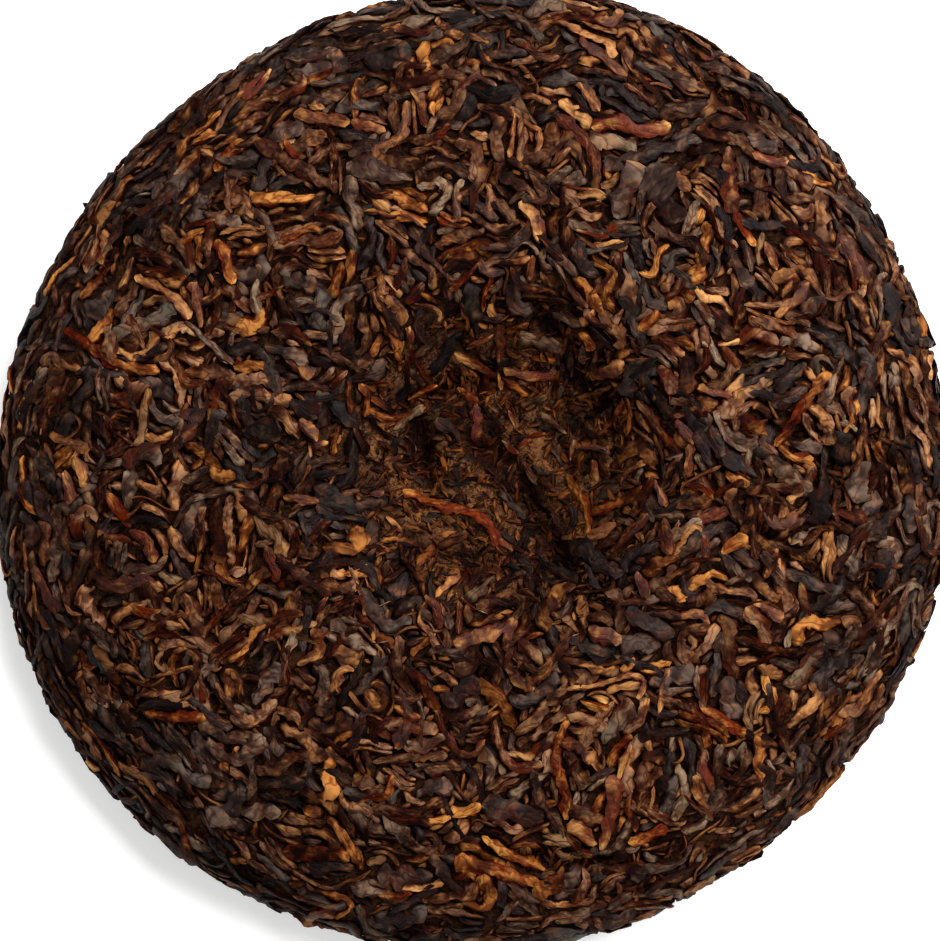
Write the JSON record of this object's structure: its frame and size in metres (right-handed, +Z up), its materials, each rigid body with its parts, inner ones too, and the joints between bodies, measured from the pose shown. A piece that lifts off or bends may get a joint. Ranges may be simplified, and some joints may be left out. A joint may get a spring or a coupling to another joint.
{
  "type": "compressed tea cake",
  "caption": "Round pressed cake of dark twisted tea leaves with a shallow dimple in its upper face.",
  "frame": {"origin": "middle of the resting face, on the surface that the cake lies on", "axes": "+Z up through the dimple, +Y towards the top of the picture, +X to its right"},
  "size_m": [0.1969, 0.2001, 0.0275],
  "materials": {
    "pressed_tea": "dry pressed leaf, dark brown with lighter buds, satin"
  },
  "bodies": {
    "root": {"tea_cake": "pressed_tea"}
  },
  "joints": []
}
